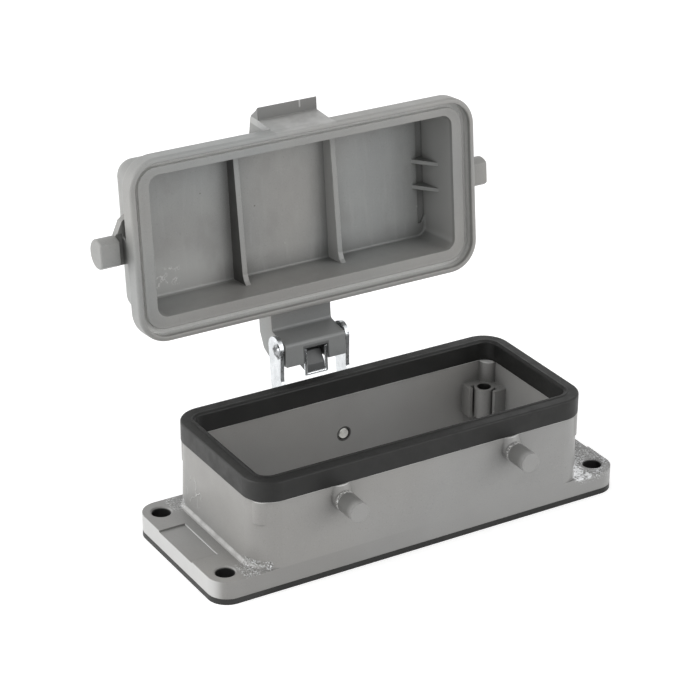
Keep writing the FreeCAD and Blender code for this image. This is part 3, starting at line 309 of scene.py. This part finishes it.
class Finish:
    """A material under construction. Lengths and places are in millimetres on the piece itself."""

    def __init__(self, name):
        self.material = bpy.data.materials.new(name)
        self.material.use_nodes = True
        self.tree = self.material.node_tree
        self.shader = self.tree.nodes["Principled BSDF"]
        coordinates = self.tree.nodes.new("ShaderNodeTexCoord")
        self.facing = coordinates.outputs["Normal"]
        self.place = self.vector("SCALE", coordinates.outputs["Object"], scale=1.0 / MM)
        self.mirrored = self.vector("ABSOLUTE", self.place)
        self.colour = None
        self.relief = None

    def node(self, kind, inputs, output=0, **settings):
        """A node with its settings and inputs, which are sockets or plain values."""
        node = self.tree.nodes.new(kind)
        for name, value in settings.items():
            setattr(node, name, value)
        for name, value in inputs.items():
            if isinstance(value, bpy.types.NodeSocket):
                self.tree.links.new(value, node.inputs[name])
            elif value is not None:
                node.inputs[name].default_value = value
        return node.outputs[output]

    def vector(self, operation, first, second=None, scale=None):
        """One step of vector arithmetic."""
        inputs = {0: first}
        if second is not None:
            inputs[1] = second
        if scale is not None:
            inputs["Scale"] = scale
        output = "Value" if operation in ("DISTANCE", "DOT_PRODUCT") else "Vector"
        return self.node("ShaderNodeVectorMath", inputs, output, operation=operation)

    def math(self, operation, first, second=0.0):
        """One step of arithmetic between sockets or numbers."""
        return self.node("ShaderNodeMath", {0: first, 1: second}, operation=operation)

    def both(self, *masks):
        """Where all the masks are on."""
        result = masks[0]
        for mask in masks[1:]:
            result = self.math("MULTIPLY", result, mask)
        return result

    def either(self, *masks):
        """Where any of the masks is on."""
        result = masks[0]
        for mask in masks[1:]:
            result = self.math("MAXIMUM", result, mask)
        return result

    def axis(self, letter, mirrored=False):
        """One coordinate, or its distance from the middle."""
        source = self.mirrored if mirrored else self.place
        return self.node("ShaderNodeSeparateXYZ", {0: source}, letter)

    def against(self, letter, start=-0.8):
        """1 on faces that look square against an axis, 0 on those turned further away than start."""
        turn = self.node("ShaderNodeSeparateXYZ", {0: self.facing}, letter)
        return self.ramp(turn, start, SQUARE_ON)

    def noise(self, grain, detail=3.0, rough=0.55, stretch=(1.0, 1.0, 1.0)):
        """Cloudy noise whose features are about so many millimetres wide."""
        place = self.vector("DIVIDE", self.place, tuple(grain * share for share in stretch))
        inputs = {"Vector": place, "Scale": 1.0, "Detail": detail, "Roughness": rough}
        return self.node("ShaderNodeTexNoise", inputs, "Fac")

    def clouds(self, grain, start, full, least=0.0, most=1.0, **look):
        """Noise drawn between two of its levels, from a least to a most share."""
        return self.ramp(self.noise(grain, **look), start, full, least, most)

    def veins(self, grain, edge, core, **look):
        """Thin winding lines, where noise is near its middle level."""
        away = self.math("ABSOLUTE", self.math("SUBTRACT", self.noise(grain, **look), 0.5))
        return self.ramp(away, edge, core)

    def dots(self, spacing, radius, stretch=(1.0, 1.0, 1.0)):
        """Small scattered dots, one in each cell."""
        place = self.vector("DIVIDE", self.place, tuple(spacing * share for share in stretch))
        away = self.node("ShaderNodeTexVoronoi", {"Vector": place, "Scale": 1.0}, "Distance")
        return self.ramp(away, DOT_CORE * radius / spacing, radius / spacing, 1.0, 0.0)

    def ramp(self, value, low, high, at_low=0.0, at_high=1.0):
        """Numbers that run smoothly from one value to another."""
        inputs = {"Value": value, "From Min": low, "From Max": high, "To Min": at_low, "To Max": at_high}
        return self.node("ShaderNodeMapRange", inputs, "Result", interpolation_type="SMOOTHSTEP")

    def span(self, value, low, high, soft):
        """1 between two values, with soft ends outside them."""
        return self.both(self.ramp(value, low - soft, low), self.ramp(value, high, high + soft, 1.0, 0.0))

    def line_mask(self, keep, point, radius, soft, mirrored=True):
        """1 near a line along one axis. keep is 1 for the two axes that count and 0 along the line."""
        source = self.vector("MULTIPLY", self.mirrored if mirrored else self.place, keep)
        away = self.vector("DISTANCE", source, point)
        return self.ramp(away, radius, radius + soft, 1.0, 0.0)

    def blend(self, share, first, second):
        """From one colour to another."""
        node = self.tree.nodes.new("ShaderNodeMix")
        node.data_type = "RGBA"
        node.clamp_factor = True
        for index, value in ((0, share), (6, first), (7, second)):
            if isinstance(value, bpy.types.NodeSocket):
                self.tree.links.new(value, node.inputs[index])
            else:
                node.inputs[index].default_value = value
        return node.outputs[2]

    def coat(self, colour, mask, share=1.0):
        """Lay a share of a colour over what is there, where the mask is on."""
        if share < 1.0:
            mask = self.math("MULTIPLY", mask, share)
        self.colour = self.blend(mask, self.colour, colour)

    def bump(self, height, depth, strength=1.0):
        """Relief of a depth in millimetres, on top of what is there."""
        inputs = {"Distance": depth * MM, "Strength": strength, "Height": height, "Normal": self.relief}
        self.relief = self.node("ShaderNodeBump", inputs, "Normal")

    def soften(self, radius):
        """Edges that catch the light as if rounded. Gives 1 at the edges and 0 elsewhere."""
        self.relief = self.node("ShaderNodeBevel", {"Radius": radius * MM}, "Normal", samples=SAMPLES)
        plain = self.node("ShaderNodeNewGeometry", {}, "Normal")
        turned = self.vector("DISTANCE", self.relief, plain)
        return self.ramp(turned, *EDGE_TURN)

    def hollow(self, reach):
        """1 in narrow recesses of the piece, 0 on open faces."""
        inputs = {"Distance": reach * MM}
        open_share = self.node("ShaderNodeAmbientOcclusion", inputs, "AO", samples=SAMPLES, only_local=True)
        return self.ramp(open_share, *RECESS_OPEN)

    def set(self, **values):
        """Constant values of the shader."""
        for name, value in values.items():
            self.shader.inputs[name.replace("_", " ")].default_value = value

    def finish(self, roughness):
        """Link the colour, the roughness and the relief into the shader and hand over the material."""
        self.tree.links.new(self.colour, self.shader.inputs["Base Color"])
        self.tree.links.new(roughness, self.shader.inputs["Roughness"])
        self.tree.links.new(self.relief, self.shader.inputs["Normal"])
        return self.material


def grey_skin(finish, dark, light, cool):
    """Painted casting or moulding: clouds, a warm and a cool cast, fine pepper, an orange peel, pale edges
    that are partly wear and partly painted highlight, and painted shade in recesses.
    """
    edges = finish.soften(0.3)
    finish.colour = finish.blend(finish.clouds(14.0, 0.3, 0.7), dark, light)
    finish.coat(finish.blend(finish.clouds(40.0, 0.35, 0.65, detail=1.0), WARM_CAST, cool), 0.35)
    pepper = finish.noise(0.35, detail=2.0)
    finish.coat(PALE_PEPPER, finish.ramp(pepper, 0.6, 0.75, 0.0, 0.2))
    finish.coat(DARK_PEPPER, finish.ramp(pepper, 0.4, 0.28, 0.0, 0.2))
    finish.bump(finish.noise(1.2, detail=2.0), 0.05, 0.35)
    finish.bump(finish.noise(0.3, detail=1.0), 0.01, 0.3)
    # Pale edges: partly wear, partly a painted highlight where edges catch the light
    finish.coat(WORN_EDGE_AND_HIGHLIGHT, finish.both(edges, finish.clouds(1.6, 0.45, 0.65)), 0.4)
    # Painted shade: recesses are darkened in the colour
    finish.coat(RECESS_SHADE, finish.hollow(6.0), 0.7)


def rough_paint(finish, glitter):
    """Paint that is rough at the flange's right end and at the left end's corners, with painted glints and
    dark pits there.
    """
    side = finish.axis("X")
    height = finish.axis("Z")
    thinner_outside = finish.ramp(side, *FLANGE_TIP_FADE_X, 0.7, 1.0)
    on_flange = finish.both(finish.ramp(height, *FLANGE_SIDE_FADE_Z),
                            finish.ramp(height, *WALL_FOOT_FADE_Z))
    right_end = finish.both(finish.ramp(side, *FLANGE_END_FADE_X), on_flange, thinner_outside)
    up_the_corner = finish.both(finish.ramp(height, *RIGHT_CORNER_LOW_Z),
                                finish.ramp(height, *RIGHT_CORNER_HIGH_Z, 0.0, 0.9))
    right_edge = finish.both(finish.ramp(side, *RIGHT_CORNER_FADE_X), up_the_corner)
    left_corners = finish.both(finish.span(side, *LEFT_CORNER_BAND_X),
                               finish.span(height, *LEFT_CORNER_BAND_Z),
                               finish.ramp(finish.axis("Y", mirrored=True), *LEFT_CORNER_FADE_Y))
    rough_places = finish.either(right_end, right_edge, left_corners)
    rough = finish.both(rough_places, finish.clouds(3.0, 0.4, 0.6, 0.25))
    # Painted glints: pale specks of colour stand in for sparkle
    finish.coat(PAINTED_GLINT, finish.both(rough, finish.ramp(glitter, 0.54, 0.58)))
    finish.coat(PIT, finish.both(rough, finish.ramp(glitter, 0.45, 0.40)))
    finish.bump(glitter, 0.25, rough)


def painted_foot_highlights(finish):
    """Painted glints at the foot of the front right corner, and a painted highlight along the left wall's
    foot.
    """
    side = finish.axis("X")
    height = finish.axis("Z")
    right_corner = finish.both(finish.span(side, *RIGHT_FOOT_BAND_X),
                               finish.span(finish.axis("Y"), *RIGHT_FOOT_BAND_Y),
                               finish.span(height, *RIGHT_FOOT_BAND_Z))
    # Painted glints at the corner's foot
    finish.coat(PAINTED_FOOT_GLINT, finish.both(right_corner, finish.clouds(0.9, 0.42, 0.55)))
    left_foot = finish.both(finish.span(side, *LEFT_FOOT_BAND_X), finish.span(height, *LEFT_FOOT_BAND_Z))
    # Painted highlight along the left wall's foot
    finish.coat(PAINTED_FOOT_HIGHLIGHT, finish.both(left_foot, finish.clouds(3.5, 0.35, 0.6, 0.3)), 0.4)


def flow_marks(finish):
    """Thin ridges on the left end wall, left by the metal as it ran in."""
    spot = finish.line_mask((0.0, 1.0, 1.0), FLOW_SPOT, FLOW_RADIUS, FLOW_SOFT, mirrored=False)
    flow = finish.both(spot, finish.ramp(finish.axis("X"), 1.0 - WALL_X, 0.5 - WALL_X))
    ridge = finish.veins(3.2, 0.03, 0.01, detail=1.0)
    finish.coat(FLOW_RIDGE, finish.both(flow, ridge), 0.4)
    finish.bump(ridge, 0.15, flow)


def flange_sides(finish):
    """Painted light on the flange's left side, and painted shade on its front side, stronger towards the
    left.
    """
    low = finish.ramp(finish.axis("Z"), FLANGE_TOP + 0.2, FLANGE_TOP - 0.3)
    # Painted light: faces towards the left end are paler
    finish.coat(PAINTED_LIT_SIDE, finish.both(low, finish.against("X", -0.6)), 0.8)
    leftwards = finish.ramp(finish.axis("X"), *FRONT_SIDE_FADE_X)
    # Painted shade: the front side is darker towards the left
    finish.coat(PAINTED_SHADED_SIDE, finish.both(low, finish.against("Y", -0.6), leftwards), 0.3)


def pale_line_under_rubber(finish):
    """A pale line on the wall along the rubber's lower edge."""
    line = finish.span(finish.axis("Z"), SKIRT_FOOT - 0.35, SKIRT_FOOT + 0.1, 0.15)
    finish.coat(PALE_EDGE_LINE, finish.both(line, finish.clouds(5.0, 0.35, 0.6, 0.2, 0.75)))


def rivet_gap_shade(finish):
    """Painted shade in the gap round the rivet's end in the back wall."""
    ring = finish.line_mask((1.0, 0.0, 1.0), (0.0, 0.0, RIVET_Z), RIVET_RADIUS + 0.3, 0.15, mirrored=False)
    # Painted shade: a dark ring stands in for the shade in the gap
    finish.coat(RIVET_GAP_SHADE, finish.both(ring, finish.ramp(finish.axis("Y"), *BACK_WALL_FADE_Y)), 0.9)


def peg_marks(finish, glitter):
    """Each peg's shank is darkened with painted shade, and a line of specks marks its root."""
    across = finish.axis("Y", mirrored=True)
    peg = finish.line_mask((1.0, 0.0, 1.0), (PEG_X, 0.0, PEG_Z), PEG_RADIUS + 0.15, 0.3)
    shank = finish.both(peg, finish.ramp(across, WALL_Y + 2.5, WALL_Y + 2.9),
                        finish.ramp(across, PEG_END - 0.2, PEG_END - 2.4))
    # Painted shade on the shank
    finish.coat(PEG_SHANK_SHADE, shank, 0.75)
    root = finish.both(peg, finish.span(across, WALL_Y + 1.9, WALL_Y + 2.6, 0.2))
    finish.coat(PEG_SPECK, finish.both(root, finish.ramp(glitter, 0.5, 0.56)))


def bore_shade(finish):
    """Painted shade inside the panel holes and the insert screws' holes."""
    across_z = (1.0, 1.0, 0.0)
    panel_hole = finish.line_mask(across_z, (HOLE_X, HOLE_Y, 0.0), HOLE_RADIUS + 0.08, 0.1)
    below_top = finish.ramp(finish.axis("Z"), FLANGE_TOP, FLANGE_TOP - 0.5)
    boss_hole = finish.line_mask(across_z, (BOSS_HOLE_X, BOSS_HOLE_Y, 0.0), BOSS_HOLE_RADIUS + 0.08, 0.1)
    # Painted shade: the bores are darkened in the colour
    finish.coat(BORE_SHADE, finish.either(finish.both(panel_hole, below_top), boss_hole))


def casting_paint():
    """The housing's grey paint, with painted glints where it is rough, painted highlights at the feet,
    painted light and shade on the flange's sides, and painted shade in the bores, round the rivet and on
    the peg shanks.
    """
    finish = Finish("casting_paint")
    grey_skin(finish, PAINT_DARK, PAINT_LIGHT, PAINT_COOL)
    glitter = finish.noise(0.42, detail=2.0, rough=0.7)
    rough_paint(finish, glitter)
    painted_foot_highlights(finish)
    flow_marks(finish)
    flange_sides(finish)
    pale_line_under_rubber(finish)
    rivet_gap_shade(finish)
    peg_marks(finish, glitter)
    bore_shade(finish)
    return finish.finish(finish.clouds(4.0, 0.3, 0.7, 0.34, 0.46))


def panel_marks(finish, inside):
    """Drag lines, a pale lower left, smears, specks and painted glints on the inner face of the cover's
    panel.
    """
    drag = finish.noise(1.4, detail=2.0, stretch=(1.0, 1.0, 14.0))
    finish.coat(DRAG_LINE, finish.both(inside, finish.ramp(drag, 0.5, 0.8, 0.0, 0.16)))
    lower = finish.ramp(finish.axis("Z"), *PALE_FADE_Z)
    leftwards = finish.ramp(finish.axis("X"), *PALE_FADE_X, 0.0, 0.7)
    finish.coat(PALE_PANEL, finish.both(inside, lower, leftwards))
    smear = finish.clouds(8.0, 0.5, 0.75, 0.0, 0.35, stretch=(1.0, 1.0, 1.6))
    finish.coat(SMEAR, finish.both(inside, smear))
    finish.coat(BROWN_SPECK, finish.both(inside, finish.dots(6.5, 0.28)), 0.8)
    # Painted glints: pale dots stand in for sparkle
    glints = finish.dots(5.2, 0.22, stretch=(1.0, 1.0, 2.2))
    finish.coat(PAINTED_PANEL_GLINT, finish.both(inside, glints), 0.6)
    finish.bump(drag, 0.015, inside)


def flank(finish, depth, side_start, side_end, depth_start, colour, share):
    """Lay a given tone of painted light and shade on one upright flank of the open cover that faces the
    left end.
    """
    along = finish.span(finish.axis("X"), side_start, side_end, 0.5)
    behind = finish.span(depth, depth_start, PANEL_DEPTH, 0.5)
    finish.coat(colour, finish.both(finish.against("X"), along, behind), share)


def scratches(finish, inside):
    """Scratches at the panel's lower left, a dent in the rim and a nick in the finger tab."""
    side = finish.axis("X")
    height = finish.axis("Z")
    corner = finish.both(finish.span(side, *SCRATCH_BAND_X), finish.span(height, *SCRATCH_BAND_Z), inside)
    upright = finish.dots(1.9, 0.3, stretch=(0.7, 1.0, 2.6))
    level = finish.dots(2.3, 0.3, stretch=(2.4, 1.0, 0.7))
    scratch = finish.either(upright, level, finish.veins(2.6, 0.022, 0.008))
    finish.coat(SCRATCH, finish.both(corner, scratch), 0.55)
    middle = (DENT[0], DENT[1], DENT[2] * DENT_STRETCH)
    dent = finish.line_mask((1.0, 1.0, DENT_STRETCH), middle, DENT_RADIUS, DENT_SOFT, mirrored=False)
    finish.coat(DENT_DIRT, dent, 0.8)
    nick = finish.both(finish.span(side, *NICK_BAND_X), finish.ramp(height, *NICK_FADE_Z))
    finish.coat(NICK, nick)


def knuckle_shade(finish):
    """Painted shade in the knuckle's window and on the tongue in it, and lighter painted shade on the arm
    above.
    """
    side = finish.axis("X")
    height = finish.axis("Z")
    window = finish.both(finish.span(side, -WINDOW_SIDE, WINDOW_SIDE, 0.15),
                         finish.ramp(height, WINDOW_TOP, WINDOW_TOP - 0.5),
                         finish.ramp(finish.axis("Y"), WINDOW_FRONT, WINDOW_FRONT + 0.6))
    # Painted shade in the window
    finish.coat(WINDOW_SHADE, window, 0.8)
    arm = finish.both(finish.ramp(height, *ARM_FADE_Z, 0.0, 0.4),
                      finish.span(side, 0.1 - ARM_SIDE, ARM_SIDE - 0.1, 0.05))
    # Painted shade on the arm
    finish.coat(ARM_SHADE, arm)


def tab_tones(finish):
    """The finger tab is dull on its face and paler in patches on the slope below it."""
    height = finish.axis("Z")
    across_tab = finish.span(finish.axis("X"), -TAB_SIDE, TAB_SIDE, 0.3)
    face = finish.ramp(height, TAB_EDGE, TAB_EDGE + 0.2, 0.0, 0.55)
    finish.coat(DULL_TAB, finish.both(face, across_tab))
    slope = finish.both(finish.span(height, TAB_FOOT, TAB_EDGE - 0.1, 0.15),
                        finish.ramp(finish.axis("Y"), *TAB_SLOPE_FADE_Y), across_tab)
    finish.coat(PALE_TAB_SLOPE, finish.both(slope, finish.clouds(5.0, 0.3, 0.7, 0.15, 0.45)))


def cover_grey():
    """The cover's grey skin: painted light in the groove, painted light and shade on the flanks, and marks
    on its panel, knuckle and tab, with painted glints on the panel and painted shade in the knuckle's
    window and on the arm.
    """
    finish = Finish("cover_grey")
    grey_skin(finish, MOULDED_DARK, MOULDED_LIGHT, MOULDED_COOL)
    swing = math.radians(OPEN_ANGLE)
    from_lip = finish.vector("SUBTRACT", finish.place, (0.0, LIP_Y, LIP_Z))
    depth = finish.vector("DOT_PRODUCT", from_lip, (0.0, math.sin(swing), math.cos(swing)))
    inside = finish.span(depth, PANEL_DEPTH - 1.0, PANEL_DEPTH + 0.5, 0.5)
    # Painted light: the groove is made pale to lift the shade that falls in it
    groove = finish.both(finish.span(depth, GROOVE_START, GROOVE_END, 0.2), finish.hollow(2.5))
    finish.coat(PAINTED_GROOVE_LIGHT, groove)
    panel_marks(finish, inside)
    # Painted shade on the left rib's flank
    flank(finish, depth, -RIB_END, -RIB_START, RIB_DEPTH, PAINTED_FLANK_SHADE, 0.8)
    # Painted light on the end wall's flank
    flank(finish, depth, END_WALL_START, END_WALL_END, LAND_DEPTH, PAINTED_FLANK_LIGHT, 0.4)
    # Painted light on the right rib's flank
    flank(finish, depth, RIB_START, RIB_END, RIB_DEPTH, PAINTED_FLANK_LIGHT, 0.6)
    scratches(finish, inside)
    knuckle_shade(finish)
    tab_tones(finish)
    return finish.finish(finish.clouds(4.0, 0.3, 0.7, 0.34, 0.46))


def rubber(name, dark, light):
    """Black moulded rubber with a soft sheen, painted shade in its recesses, a painted sheen towards the
    left end, faint dust and a paler edge.
    """
    finish = Finish(name)
    finish.set(Specular_IOR_Level=0.32)
    edges = finish.soften(0.25)
    finish.colour = finish.blend(finish.clouds(8.0, 0.35, 0.7), dark, light)
    # Painted shade in recesses
    finish.coat(RUBBER_RECESS_SHADE, finish.hollow(8.0))
    # Painted sheen: paler towards the left end
    finish.coat(PAINTED_LEFT_SHEEN, finish.ramp(finish.axis("X"), 5.0 - RIM_END_X, -RIM_END_X, 0.0, 0.45))
    finish.coat(DUST, finish.both(finish.dots(3.4, 0.16), finish.clouds(9.0, 0.5, 0.6)), 0.5)
    finish.coat(RUBBER_EDGE, edges, 0.25)
    finish.bump(finish.noise(0.3, detail=2.0), 0.012, 0.4)
    return finish.finish(finish.clouds(3.0, 0.3, 0.7, 0.42, 0.55))


def plated(name, dark, light, rough):
    """Bright plated steel, clouded and faintly stained, with dark struck marks near the hinge axis."""
    finish = Finish(name)
    finish.set(Metallic=1.0)
    finish.soften(0.15)
    finish.colour = finish.blend(finish.clouds(2.5, 0.3, 0.7), dark, light)
    near_axis = finish.line_mask((0.0, 1.0, 1.0), (0.0, HINGE_Y, HINGE_Z), STRUCK_RADIUS, 0.3)
    finish.coat(STRUCK, finish.both(near_axis, finish.clouds(1.6, 0.52, 0.58, detail=1.0)), 0.8)
    finish.coat(STAIN, finish.both(finish.dots(1.9, 0.25), finish.clouds(3.0, 0.5, 0.6)), 0.35)
    finish.bump(finish.noise(0.5, detail=2.0), 0.008, 0.3)
    return finish.finish(finish.clouds(1.2, 0.3, 0.7, rough, rough + 0.12))


def dress_nodes():
    """Give each CAD piece its finish."""
    finishes = {
        "housing": casting_paint(),
        "cover": cover_grey(),
        "panel_gasket": rubber("panel_rubber", tint(26, 26, 25), tint(34, 34, 33)),
        "rim_gasket": rubber("rim_rubber", tint(19, 19, 18), tint(26, 26, 25)),
        "hinge_bracket": plated("bracket_zinc", tint(205, 208, 210), tint(225, 228, 230), 0.25),
        "bracket_rivet": plated("rivet_zinc", tint(170, 170, 166), tint(205, 205, 200), 0.3),
        "hinge_pin": plated("pin_steel", tint(120, 122, 122), tint(168, 170, 172), 0.25),
        "hinge_spring": plated("spring_wire", tint(225, 228, 230), tint(240, 242, 244), 0.15),
    }
    for node, material in finishes.items():
        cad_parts[node].material_slots[0].material = material


set_camera()
for lamp_name, (lamp_place, lamp_size, lamp_watts) in LAMPS.items():
    soft_box(lamp_name, lamp_place, lamp_size, lamp_watts)
set_room()
set_floor()
dress_nodes()
bpy.context.scene.view_settings.view_transform = "Standard"
